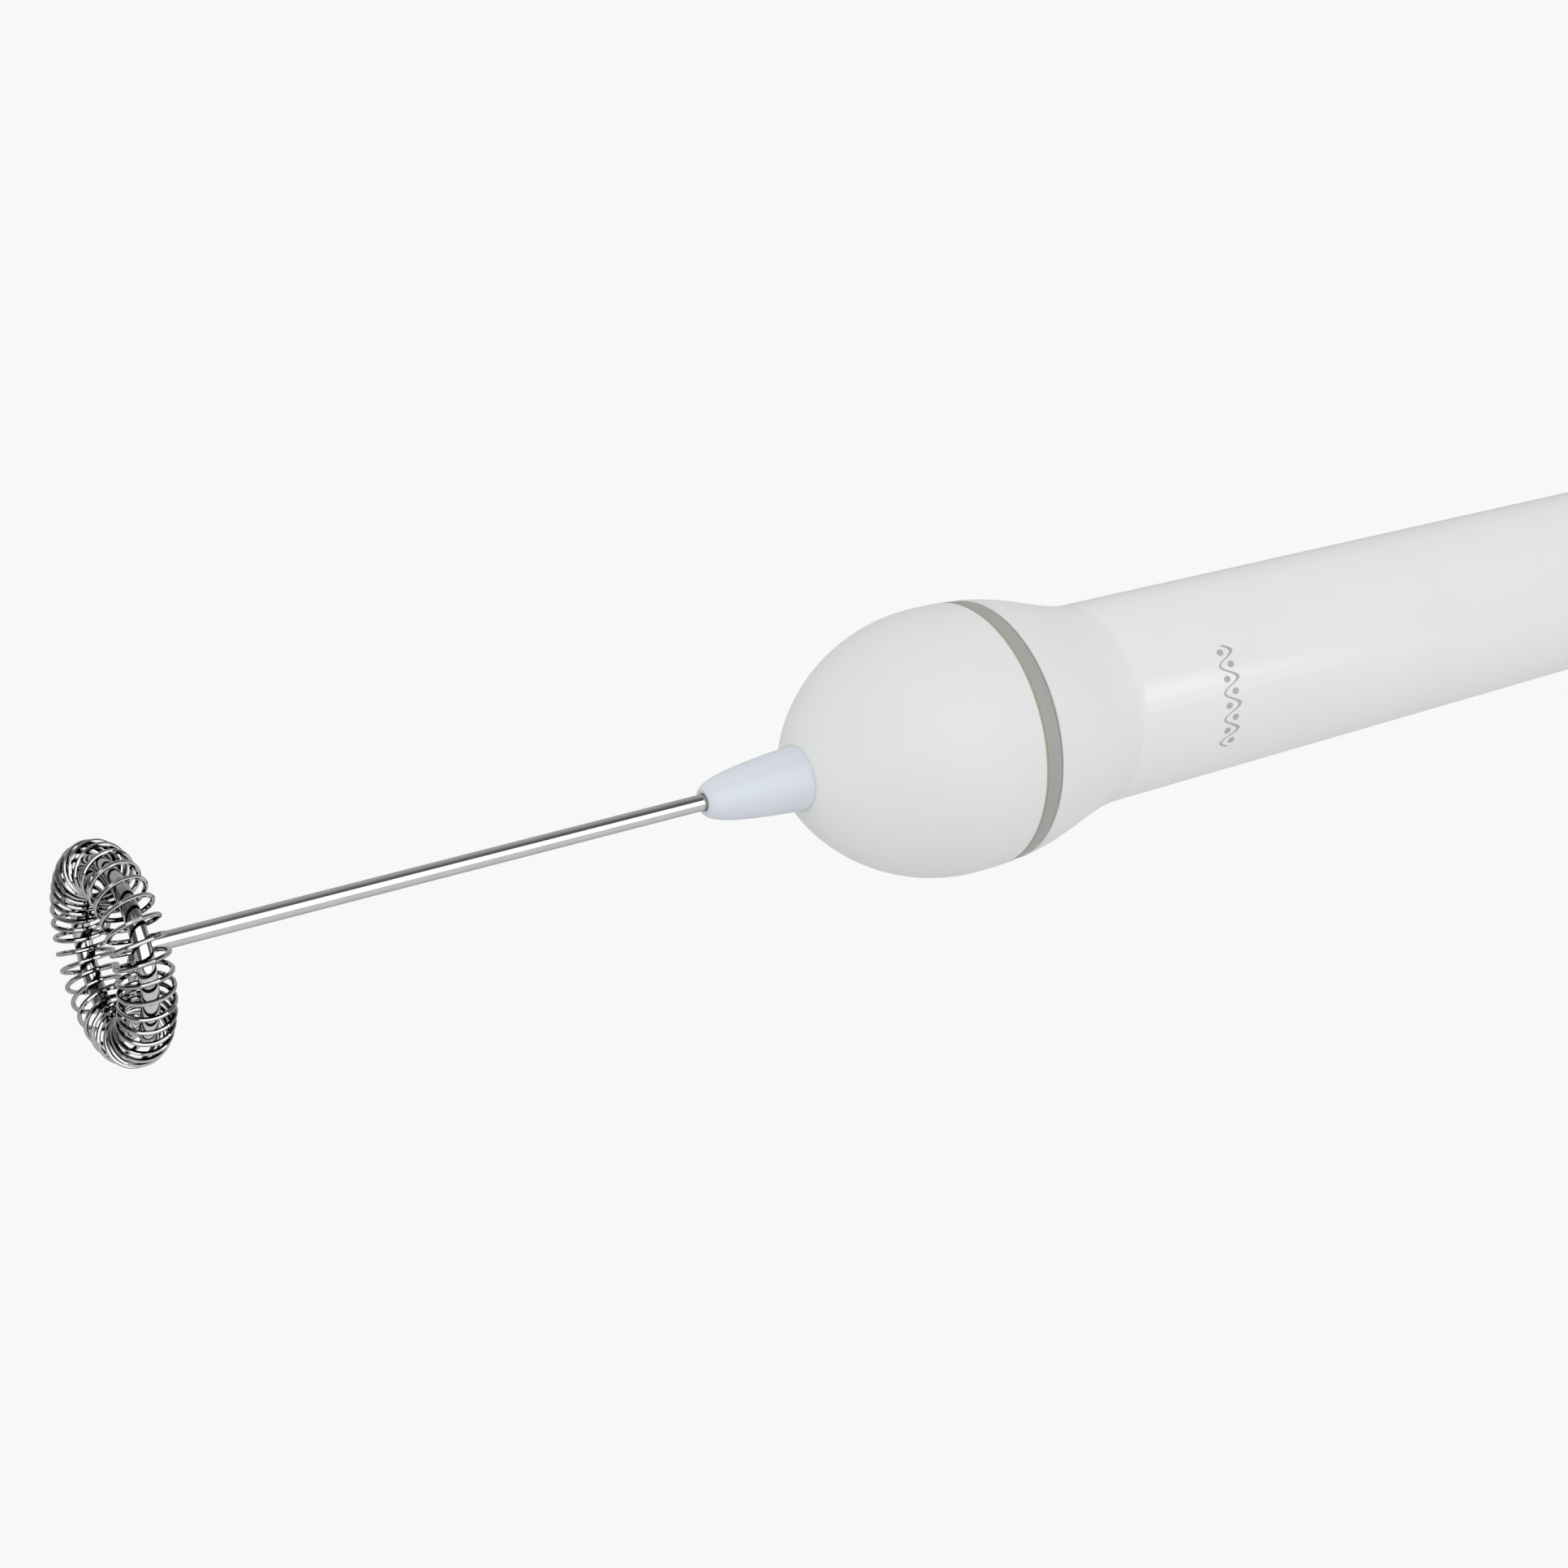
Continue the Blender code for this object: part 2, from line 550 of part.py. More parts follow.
def push_button():
    """A domed button held in by its flange, with a contact disc on its stem and a spring."""
    top = CAP_END_AT + BUTTON_PROUD
    dome = [(0, top), (2.4, top - 0.08), (4.4, top - 0.35), (5.5, top - 0.8)]
    dome.append((BUTTON_RADIUS, top - 1.5))
    skirt = [(BUTTON_RADIUS, BUTTON_FLANGE_END_AT), (BUTTON_FLANGE_RADIUS, BUTTON_FLANGE_END_AT)]
    skirt += [(BUTTON_FLANGE_RADIUS, BUTTON_FLANGE_AT), (BUTTON_STEM_RADIUS, BUTTON_FLANGE_AT)]
    skirt += [(BUTTON_STEM_RADIUS, BUTTON_STEM_AT), (0, BUTTON_STEM_AT)]
    turned("push_button", dome + skirt, button_grey, MIDDLE_SIDES)
    disc_radius = 6.8
    disc_at = SWITCH_END_AT + GAP + BUTTON_TRAVEL
    disc_end = disc_at + 0.5
    disc = [(0, disc_end), (disc_radius, disc_end), (disc_radius, disc_at), (0, disc_at)]
    turned("contact_disc", disc, brass, FINE_SIDES)
    cone_spring("button_spring", SWITCH_AT, BUTTON_FLANGE_AT - GAP, 8.0, 8.0, 3, 0.25, 12)


clear_scene()
parts = new_collection("milk_frother")
cutters = new_collection("cutters")
axis = bpy.data.objects.new("frother_axis", None)
parts.objects.link(axis)
axis.matrix_world = lying_down()

steel = new_material("polished_steel", (0.62, 0.61, 0.59), 0.12, 1.0)
coil_steel = new_material("coil_steel", (0.58, 0.57, 0.55), 0.15, 1.0)
brass = new_material("plated_brass", (0.72, 0.6, 0.35), 0.3, 1.0)
copper = new_material("copper", (0.7, 0.38, 0.25), 0.3, 1.0)
dark_iron = new_material("dark_iron", (0.1, 0.1, 0.11), 0.5, 0.6)
satin_white = new_material("satin_white", (0.72, 0.74, 0.73), 0.4)
gloss_white = new_material("gloss_white", (0.74, 0.75, 0.73), 0.15)
clear_white = new_material("natural_plastic", (0.7, 0.73, 0.8), 0.35)
band_grey = new_material("band_grey", (0.33, 0.33, 0.31), 0.4)
button_grey = new_material("button_grey", (0.36, 0.36, 0.35), 0.4)
grey_plastic = new_material("inner_plastic", (0.5, 0.51, 0.52), 0.5)
cell_wrap = new_material("cell_wrap", (0.08, 0.12, 0.2), 0.3)
red_wire = new_material("red_insulation", (0.6, 0.05, 0.04), 0.4)
black_wire = new_material("black_insulation", (0.03, 0.03, 0.03), 0.4)

whisk()
nozzle()
nose_shell()
accent_ring()
neck_collar()
handle_tube()
drive()
motor()
motor_holder()
battery_cradle()
batteries()
contacts()
tail_contacts()
end_cap()
push_button()
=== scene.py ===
import json
import math

import bmesh
import bpy
from mathutils import Matrix, Vector


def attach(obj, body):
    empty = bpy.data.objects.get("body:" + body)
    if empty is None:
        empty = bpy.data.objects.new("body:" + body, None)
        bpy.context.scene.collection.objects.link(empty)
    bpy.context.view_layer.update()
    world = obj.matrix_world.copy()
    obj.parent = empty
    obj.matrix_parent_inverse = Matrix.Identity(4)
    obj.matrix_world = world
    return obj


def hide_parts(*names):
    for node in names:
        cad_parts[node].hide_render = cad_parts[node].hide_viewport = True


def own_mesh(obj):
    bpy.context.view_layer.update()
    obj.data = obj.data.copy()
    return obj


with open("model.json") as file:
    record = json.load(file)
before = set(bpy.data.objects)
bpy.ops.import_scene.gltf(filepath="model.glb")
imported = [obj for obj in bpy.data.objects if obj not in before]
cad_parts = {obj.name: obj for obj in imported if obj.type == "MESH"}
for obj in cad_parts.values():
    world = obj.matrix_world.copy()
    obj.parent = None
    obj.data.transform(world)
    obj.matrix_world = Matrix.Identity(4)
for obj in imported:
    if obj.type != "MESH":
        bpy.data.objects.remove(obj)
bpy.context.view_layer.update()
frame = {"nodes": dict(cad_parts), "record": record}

# A battery milk frother lying on its head and tail, whisk towards -X. Pieces are drawn in
# millimetres in the axis frame of the CAD model: stations run along the long axis from the
# whisk ring (0) to the tail, and angles run round it from the top towards the front side.
MM = 0.001
SIDES = 192  # facets round a turned piece
WIRE_END_ANGLES = (72, 45, 20)  # of the rings that round a wire's end
STEPS_PER_TURN = 40  # along a coiled wire
SHARP_ANGLE = 35.0  # edges that turn more than this many degrees stay crisp
SPIN = frame["record"]["behaviour"]["joints"][0]  # the whisk's joint, on the long axis
SPIN_AT = 80.0  # station of that joint's point

# ---------------------------------------------------------------- sizes, in millimetres
WIRE_RADIUS = 1.0
WIRE_BEND_RADIUS = 2.3
ROD_END_AT = 84.5
SPOKE_ANGLE = 166.0  # the spoke runs from the rod out to the ring
SPOKE_AT = 2.3
RING_RADIUS = 9.85
RING_AT = 0.15
RING_END_ANGLE = 124.0
RING_SETTLES_IN = 12.0  # length of wire over which the spoke's station becomes the ring's
COIL_CENTRE_RADIUS = 9.33
COIL_RADIUS = 2.9
COIL_WIRE_RADIUS = 0.265
COIL_TURNS = 35
COIL_START_ANGLE = 166.0
COIL_PITCH_ANGLE = 10.15
COIL_UNEVEN_ANGLE = 3.8  # how far turns crowd together, twice round the ring
COIL_EVEN_ANGLE = 26.0
COIL_PARTING = 11.0  # how far turns give way to the spoke, in degrees
COIL_PARTING_FADES_IN = 14.3
COIL_PARTING_ROLL = 146.5  # the side of a turn that gives way
NOZZLE_TIP_AT = 73.2
NOZZLE_BASE_AT = 87.3
NOZZLE_BASE_RADIUS = 4.05
NOZZLE_ROUNDNESS = 0.24
NOZZLE_BORE = 1.03  # round the rod
NOZZLE_LIP_RADIUS = 1.6  # where the taper passes into the rounded lip
NOZZLE_FLANGE_AT = 90.7
NOZZLE_END_AT = 92.0
NOZZLE_FLANGE_RADIUS = 6.0
NOZZLE_HOLLOW_AT = 79.0
NOZZLE_HOLLOW_RADIUS = 3.2
NOSE_TIP_AT = 85.07
NOSE_OPENING_AT = 86.9
EGG_WIDEST_AT = 108.5
EGG_RADIUS = 16.8
EGG_POWERS = (2.1, 0.7)  # of its outline in front of the widest station
NECK_POWER = 1.35  # above 1, the outline behind it drops late
NOSE_WALL = 2.2
NOSE_LIP_END_AT = 89.3
NOSE_RIM_RADIUS = 14.85  # inside, over the neck's spigot
NOSE_RIM_AT = 107.0
ACCENT_AT = 111.75
ACCENT_WIDTH = 2.65
ACCENT_GAP = 0.04  # from the band to the neck, and to the egg's outline
ACCENT_ROUNDING = 0.4
NOSE_END_AT = ACCENT_AT + 0.02  # the glue line starts here
ACCENT_BORE = 14.8
GLUE_BORE = 15.2
GLUE_WIDTH = 0.14
EDGE = 0.15  # radius of the fillet on most edges
CREASE_AT = 131.0  # where the neck's curve ends and the handle's straight taper starts
CREASE_RADIUS = 12.91
SEAM_AT = 129.6  # where the glossy handle meets the satin neck
HANDLE_TAPER = 0.0086
HANDLE_BORE = 11.0
NECK_WALL = 2.0
NECK_SPIGOT_AT = 107.5
NECK_SPIGOT_RADIUS = 14.5
NECK_SPIGOT_BORE = 13.1
NECK_SPIGOT_SHOULDER_AT = 116.0
NECK_END_AT = 137.0
NECK_END_BORE = 10.0
NECK_END_BORE_AT = 130.5
SPIGOT_RADIUS = 10.7
CAP_AT = 230.3
CAP_GAP = 0.12  # the fine groove between handle and cap
CAP_END_AT = 243.0
CAP_EDGE_RADIUS = 1.2
CAP_SPIGOT_AT = 223.0
CAP_SPIGOT_CHAMFER = 0.6
CAP_SPIGOT_BORE = 10.0
CAP_SHOULDER_AT = 232.6
CAP_BORE = 9.4
CAP_FACE_AT = 241.1  # inner side of the end wall
CAP_HOLE_CLEARANCE = 0.3
CAP_HOLE_ROUNDING = 0.35
BUTTON_RADIUS = 6.0
BUTTON_PROUD = 2.6
BUTTON_RISE = 0.55  # of the domed face
BUTTON_FACE_RADIUS = 4.75
BUTTON_EDGE_RADIUS = 0.9
BUTTON_GROOVE_RADIUS = 3.4
BUTTON_GROOVE_WIDTH = 0.28
BUTTON_GROOVE_DEPTH = 0.14
BUTTON_FLANGE_RADIUS = 9.0
BUTTON_FLANGE_AT = 239.6
BUTTON_FLANGE_END_AT = 240.8
BUTTON_STEM_RADIUS = 2.0
BUTTON_STEM_AT = 238.5
SPRING_AT = 234.9
SPRING_END_AT = 239.3
SPRING_RADIUS = 8.0
SPRING_WIRE_RADIUS = 0.25
SPRING_TURNS = 3
INK_HEIGHT = 0.03
INK_DEPTH = 0.05  # how far the print reaches into the handle's wall
MARK_AT = 144.3  # station of the ornament's middle
MARK_ANGLE = 77.5  # faces the front, a little above the middle
MARK_REACH = 31.0  # degrees to either side
MARK_WAVES = 4
MARK_SWING = 1.2
MARK_STROKE = 0.3  # half its width
MARK_SWELL = 0.25  # share by which the stroke thins and swells
MARK_SWELL_AHEAD = 0.8  # radians ahead of the wave
LEAF_OFFSET = 0.55
LEAF_SIZE = 0.5
LEAF_REACH = 1.9  # degrees to either side

# ---------------------------------------------------------------- camera and light
CAMERA_AZIMUTH = 32.93  # degrees from +Y towards +X that the camera looks
CAMERA_PITCH = 27.17  # degrees below the horizon
CAMERA_TO_WHISK = Vector((-71.19, -18.01, -321.66))  # in the camera's axes, millimetres
CAMERA_LENS = 69.63  # millimetres, on a sensor this wide:
CAMERA_SENSOR = 36.0
BACKDROP = 0.938  # radiance of floor and sky as the camera sees them
FLOOR_DIFFUSE = 0.77  # and as matt surfaces do
WORLD_DIFFUSE = 0.96
WINDOW = 1.9  # radiance of the large window in reflections
WINDOW_LEFT = (-60.0, -45.0)  # it fades in between these azimuths, from -Y towards +X
WINDOW_RIGHT = (40.0, 46.0)
WINDOW_TOP = (0.74, 0.9)  # and out between these heights of the unit direction
SKY_FRONT = 0.12  # radiance of the sky in reflections, on the camera's side
SKY_BACK = 0.5
FLOOR_FRONT = 1.0  # radiance of the floor in reflections, from the front backwards
FLOOR_BELOW = 0.8
FLOOR_BACK = 0.5
DARK_SIDE = 0.1  # radiance of the whisk's side in reflections
SOFTBOX_SIZE = 0.5  # metres, as are the next two
SOFTBOX_DISTANCE = 1.2
PANEL_DISTANCE = 0.9
PANEL_AZIMUTH = 20.0  # degrees from -Y towards +X
PANEL_ELEVATION = 20.0
PANEL_TARGET_AT = 165.0  # station that the panels face


def axis_matrix():
    """Axis frame to world: local X is up, local Y is the front side, local Z the tail."""
    along = Vector(SPIN["axis"]).normalized()
    up = (Vector((0, 0, 1)) - along * along.z).normalized()
    front = along.cross(up)
    turn = Matrix((up, front, along)).transposed().to_4x4()
    origin = Vector(SPIN["pos_m"]) - along * SPIN_AT * MM
    return Matrix.Translation(origin) @ turn @ Matrix.Scale(MM, 4)


TO_WORLD = axis_matrix()


def body_radius(station):
    """Outer radius of the egg, neck and handle, which share one smooth outline."""
    if station < EGG_WIDEST_AT:
        ahead = (EGG_WIDEST_AT - station) / (EGG_WIDEST_AT - NOSE_TIP_AT)
        return EGG_RADIUS * (1 - ahead ** EGG_POWERS[0]) ** EGG_POWERS[1]
    if station < CREASE_AT:
        behind = (station - EGG_WIDEST_AT) / (CREASE_AT - EGG_WIDEST_AT)
        drop = (1 - math.cos(math.pi * behind**NECK_POWER)) / 2
        return EGG_RADIUS + (CREASE_RADIUS - EGG_RADIUS) * drop
    return CREASE_RADIUS - HANDLE_TAPER * (station - CREASE_AT)


def spaced(first, last, count):
    return [first + (last - first) * i / (count - 1) for i in range(count)]


def around(radius, angle, station):
    turn = math.radians(angle)
    return Vector((radius * math.cos(turn), radius * math.sin(turn), station))


def arc(centre, radius, start, end, count):
    """Outline points (radius, station) round a fillet, angles from +radius towards +station."""
    turns = [math.radians(a) for a in spaced(start, end, count)]
    return [(centre[0] + radius * math.cos(t), centre[1] + radius * math.sin(t)) for t in turns]


# ---------------------------------------------------------------- materials
CLOUD_SCALE = 90.0  # noise scales, in cycles per metre
GLOSS_SCALE = 400.0
METAL_CLOUD_SCALE = 300.0
METAL_POLISH_SCALE = 1200.0
METAL_GRAIN_SCALE = 2500.0


def new_material(name, colour, roughness, metallic=0.0):
    made = bpy.data.materials.new(name)
    made.use_nodes = True
    shader = made.node_tree.nodes["Principled BSDF"]
    shader.inputs["Base Color"].default_value = (*colour, 1)
    shader.inputs["Roughness"].default_value = roughness
    shader.inputs["Metallic"].default_value = metallic
    return made


def add_noise(material, scale, detail):
    """A noise texture in object space, with its scale given in cycles per metre."""
    nodes, links = material.node_tree.nodes, material.node_tree.links
    place = nodes.new("ShaderNodeTexCoord")
    noise = nodes.new("ShaderNodeTexNoise")
    noise.inputs["Scale"].default_value = scale
    noise.inputs["Detail"].default_value = detail
    links.new(place.outputs["Object"], noise.inputs["Vector"])
    return noise.outputs["Fac"]


def vary_colour(material, fac, dark, light):
    """Colour from dark to light over the middle of a noise."""
    nodes, links = material.node_tree.nodes, material.node_tree.links
    ramp = nodes.new("ShaderNodeValToRGB")
    ramp.color_ramp.elements[0].position = 0.3
    ramp.color_ramp.elements[1].position = 0.7
    ramp.color_ramp.elements[0].color = (*dark, 1)
    ramp.color_ramp.elements[1].color = (*light, 1)
    links.new(fac, ramp.inputs["Fac"])
    links.new(ramp.outputs["Color"], nodes["Principled BSDF"].inputs["Base Color"])


def vary_roughness(material, fac, low, high):
    """Roughness from low to high along a noise."""
    nodes, links = material.node_tree.nodes, material.node_tree.links
    spread = nodes.new("ShaderNodeMapRange")
    spread.inputs["To Min"].default_value = low
    spread.inputs["To Max"].default_value = high
    links.new(fac, spread.inputs["Value"])
    links.new(spread.outputs["Result"], nodes["Principled BSDF"].inputs["Roughness"])


def add_bump(material, fac, height):
    """Bump with a true height in metres."""
    nodes, links = material.node_tree.nodes, material.node_tree.links
    bump = nodes.new("ShaderNodeBump")
    bump.inputs["Distance"].default_value = height
    bump.inputs["Strength"].default_value = 1.0
    links.new(fac, bump.inputs["Height"])
    links.new(bump.outputs["Normal"], nodes["Principled BSDF"].inputs["Normal"])


def plastic(name, dark, light, roughness, grain, grain_height, coat=0.0, specular=0.5):
    """Moulded plastic: a faint cloudiness in its colour, uneven gloss and a fine skin."""
    made = new_material(name, light, roughness)
    shader = made.node_tree.nodes["Principled BSDF"]
    shader.inputs["Coat Weight"].default_value = coat
    shader.inputs["Coat Roughness"].default_value = 0.05
    shader.inputs["Specular IOR Level"].default_value = specular
    vary_colour(made, add_noise(made, CLOUD_SCALE, 3), dark, light)
    vary_roughness(made, add_noise(made, GLOSS_SCALE, 5), roughness - 0.03, roughness + 0.03)
    add_bump(made, add_noise(made, grain, 3), grain_height)
    return made


def metal(name, dark, light, roughness, grain_height=2e-6):
    """Drawn or stamped metal: a slightly uneven colour and polish, and a fine grain."""
    made = new_material(name, light, roughness, 1.0)
    vary_colour(made, add_noise(made, METAL_CLOUD_SCALE, 4), dark, light)
    polish = add_noise(made, METAL_POLISH_SCALE, 5)
    vary_roughness(made, polish, roughness * 0.7, roughness * 1.4)
    add_bump(made, add_noise(made, METAL_GRAIN_SCALE, 3), grain_height)
    return made


satin_white = plastic("satin_white", (0.68, 0.70, 0.69), (0.70, 0.72, 0.71), 0.55, 1500, 6e-6)
gloss_white = plastic(
    "gloss_white", (0.724, 0.737, 0.729), (0.739, 0.752, 0.744), 0.11, 300, 2e-6, specular=0.3
)
natural = plastic("natural_plastic", (0.625, 0.665, 0.72), (0.645, 0.685, 0.75), 0.4, 900, 5e-6)
band_grey = plastic(
    "band_grey", (0.33, 0.33, 0.315), (0.35, 0.35, 0.33), 0.4, 1200, 4e-6, specular=0.2
)
seam_cream = plastic("seam_cream", (0.34, 0.31, 0.2), (0.5, 0.46, 0.32), 0.5, 1500, 5e-6)
button_grey = plastic("button_grey", (0.3, 0.3, 0.29), (0.34, 0.34, 0.33), 0.42, 1600, 8e-6)
mark_ink = plastic("mark_ink", (0.36, 0.36, 0.35), (0.43, 0.43, 0.42), 0.5, 2500, 2e-6)
inner_plastic = plastic("inner_plastic", (0.42, 0.43, 0.44), (0.48, 0.49, 0.5), 0.5, 1200, 1e-5)
steel = metal("polished_steel", (0.62, 0.615, 0.60), (0.67, 0.665, 0.65), 0.09, 3e-7)
wire_steel = metal("wire_steel", (0.5, 0.492, 0.478), (0.58, 0.572, 0.558), 0.06, 2e-7)
brass = metal("plated_brass", (0.6, 0.46, 0.24), (0.76, 0.63, 0.38), 0.28)
copper = metal("copper", (0.6, 0.28, 0.17), (0.75, 0.42, 0.28), 0.3)
dark_iron = metal("dark_iron", (0.06, 0.06, 0.065), (0.14, 0.14, 0.15), 0.5)
cell_wrap = plastic("cell_wrap", (0.03, 0.05, 0.1), (0.05, 0.08, 0.15), 0.25, 900, 4e-6, 0.5)
red_skin = plastic("red_insulation", (0.5, 0.03, 0.025), (0.62, 0.05, 0.04), 0.4, 2000, 5e-6)
black_skin = plastic("black_insulation", (0.02, 0.02, 0.02), (0.04, 0.04, 0.04), 0.4, 2000, 5e-6)

CAD_MATERIALS = {
    inner_plastic: [
        "drive_coupling", "motor_end_cap", "motor_holder", "battery_cradle", "contact_carrier",
    ],
    steel: ["motor_can", "motor_shaft"],
    wire_steel: ["battery_spring"],
    dark_iron: ["motor_magnet_upper", "motor_magnet_lower", "motor_armature"],
    copper: ["motor_commutator"],
    brass: [
        "motor_bearing", "motor_brush_left", "motor_brush_right", "motor_terminal_left",
        "motor_terminal_right", "front_contact", "contact_strip", "rear_contact",
        "switch_ring", "contact_disc",
    ],
    cell_wrap: ["battery_front", "battery_rear"],
    red_skin: ["lead_wire_plus"],
    black_skin: ["lead_wire_minus"],
}


def dress_cad_nodes():
    """Gives the inner pieces, which keep their CAD shapes, their own materials."""
    for material, names in CAD_MATERIALS.items():
        for name in names:
            for place in frame["nodes"][name].material_slots:
                place.material = material


# ---------------------------------------------------------------- making meshes
def add_piece(name, shape, material, body, cad_node=None):
    """Puts a bmesh drawn in the axis frame into the world and ties it to its CAD body."""
    shape.transform(TO_WORLD)
    bmesh.ops.recalc_face_normals(shape, faces=shape.faces)
    mesh = bpy.data.meshes.new(name)
    shape.to_mesh(mesh)
    shape.free()
    mesh.shade_smooth()
    mesh.set_sharp_from_angle(angle=math.radians(SHARP_ANGLE))
    mesh.materials.append(material)
    made = bpy.data.objects.new(name, mesh)
    bpy.context.scene.collection.objects.link(made)
    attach(made, body)
    if cad_node:
        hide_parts(cad_node)
    return made


def turned_shape(outline, sides=SIDES):
    """A closed outline of (radius, station) points turned about the axis."""
    shape = bmesh.new()
    rings = []
    for radius, station in outline:
        if radius == 0:
            rings.append([shape.verts.new((0, 0, station))] * sides)
        else:
            corners = [around(radius, 360 * i / sides, station) for i in range(sides)]
            rings.append([shape.verts.new(corner) for corner in corners])
    pairs = list(zip(rings, rings[1:]))
    if outline[0][0] > 0:
        pairs.append((rings[-1], rings[0]))
    for one, other in pairs:
        for i in range(sides):
            j = (i + 1) % sides
            corners = list(dict.fromkeys((one[i], one[j], other[j], other[i])))
            if len(corners) > 2:
                shape.faces.new(corners)
    return shape


def turned(name, outline, material, body, cad_node=None, sides=SIDES):
    """A piece made by turning a closed outline about the axis."""
    add_piece(name, turned_shape(outline, sides), material, body, cad_node)


def swept_shape(path, radius, sides):
    """A round wire with rounded ends along a path, its sections turned as little as possible."""
    path = [Vector(p) for p in path]
    shape = bmesh.new()
    count = len(path)
    ahead = [(path[min(i + 1, count - 1)] - path[max(i - 1, 0)]).normalized() for i in range(count)]
    side = ahead[0].orthogonal().normalized()
    sections = []
    for point, direction in zip(path, ahead):
        side = (side - direction * side.dot(direction)).normalized()
        sections.append((point, direction, side, radius))
    caps = [(math.sin(t), math.cos(t)) for t in (math.radians(a) for a in WIRE_END_ANGLES)]
    point, direction, side, _ = sections[0]
    start = [(point - direction * radius * s, direction, side, radius * c) for s, c in caps]
    point, direction, side, _ = sections[-1]
    end = [(point + direction * radius * s, direction, side, radius * c) for s, c in caps[::-1]]
    turns = [math.tau * i / sides for i in range(sides)]
    rings = []
    for point, direction, side, size in start + sections + end:
        other = direction.cross(side)
        ways = [side * math.cos(t) + other * math.sin(t) for t in turns]
        rings.append([shape.verts.new(point + way * size) for way in ways])
    for one, other in zip(rings, rings[1:]):
        for i in range(sides):
            j = (i + 1) % sides
            shape.faces.new((one[i], one[j], other[j], other[i]))
    shape.faces.new(rings[0][::-1])
    shape.faces.new(rings[-1])
    return shape


# ---------------------------------------------------------------- whisk
def whisk_wire():
    """One bent wire: the rod, its elbow, the spoke out to the ring, and the open ring."""
    bend = WIRE_BEND_RADIUS
    path = [Vector((0, 0, s)) for s in spaced(ROD_END_AT, SPOKE_AT + bend + 1, 30)]
    for turn in spaced(0, 90, 16):
        out = bend * (1 - math.cos(math.radians(turn)))
        back = bend * (1 - math.sin(math.radians(turn)))
        path.append(around(out, SPOKE_ANGLE, SPOKE_AT + back))
    elbow_end = len(path)
    lead = math.degrees(math.asin(bend / (RING_RADIUS - bend)))
    spoke_end = (RING_RADIUS - bend) * math.cos(math.radians(lead))
    path += [around(r, SPOKE_ANGLE, SPOKE_AT) for r in spaced(bend, spoke_end, 10)[1:-1]]
    centre = around(RING_RADIUS - bend, SPOKE_ANGLE + lead, SPOKE_AT)
    for turn in spaced(SPOKE_ANGLE - 90, SPOKE_ANGLE + lead, 20):
        path.append(centre + around(bend, turn, 0))
    for angle in spaced(SPOKE_ANGLE + lead, RING_END_ANGLE + 360, 140)[1:]:
        path.append(around(RING_RADIUS, angle, SPOKE_AT))
    travelled = 0.0
    for before, point in zip(path[elbow_end - 1 :], path[elbow_end:]):
        travelled += (point.xy - before.xy).length
        share = min(1.0, travelled / RING_SETTLES_IN)
        point.z = SPOKE_AT + (RING_AT - SPOKE_AT) * share * share * (3 - 2 * share)
    shape = swept_shape(path, WIRE_RADIUS, 32)
    add_piece("bent_wire", shape, steel, "whisk", "whisk_wire")


def coil_point(turns):
    """A point on the middle line of the coil's wire, after a number of turns."""
    even = COIL_START_ANGLE - COIL_PITCH_ANGLE * turns
    angle = even + COIL_UNEVEN_ANGLE * math.sin(math.radians(2 * (even - COIL_EVEN_ANGLE)))
    roll = math.tau * turns
    beside = max(0.0, math.cos(roll - math.radians(COIL_PARTING_ROLL))) ** 2
    away = (angle - SPOKE_ANGLE + 180) % 360 - 180
    parting = COIL_PARTING * math.exp(-abs(away) / COIL_PARTING_FADES_IN) * beside
    angle += math.copysign(parting, away)
    radius = COIL_CENTRE_RADIUS + COIL_RADIUS * math.cos(roll)
    return around(radius, angle, COIL_RADIUS * math.sin(roll))


def whisk_coil():
    """The fine wire wound round the ring."""
    path = [coil_point(i / STEPS_PER_TURN) for i in range(COIL_TURNS * STEPS_PER_TURN + 1)]
    shape = swept_shape(path, COIL_WIRE_RADIUS, 10)
    add_piece("coil_wire", shape, wire_steel, "whisk", "whisk_coil")


# ---------------------------------------------------------------- head and handle
def nozzle():
    """A tapering guide with a rounded tip round the rod's hole."""
    span = NOZZLE_BASE_AT - NOZZLE_TIP_AT
    shares = [(1 - i / 60) ** 2.6 for i in range(58)]  # closer together towards the tip
    taper = [(NOZZLE_BASE_RADIUS * x**NOZZLE_ROUNDNESS, NOZZLE_TIP_AT + span * x) for x in shares]
    taper = [point for point in taper if point[0] > NOZZLE_LIP_RADIUS]
    tip = taper[-1][1]
    flange = [(NOZZLE_FLANGE_RADIUS, NOZZLE_END_AT), (NOZZLE_FLANGE_RADIUS, NOZZLE_FLANGE_AT)]
    flange += [(NOZZLE_BASE_RADIUS, NOZZLE_FLANGE_AT)]
    lip = [(1.35, tip - 0.07), (1.13, tip - 0.02), (NOZZLE_BORE, tip + 0.1)]
    bore = [(NOZZLE_BORE, NOZZLE_HOLLOW_AT), (NOZZLE_HOLLOW_RADIUS, NOZZLE_HOLLOW_AT)]
    bore += [(NOZZLE_HOLLOW_RADIUS, NOZZLE_END_AT)]
    outline = flange + taper + lip + bore
    turned("nozzle_guide", outline, natural, "housing", "nozzle", SIDES // 2)


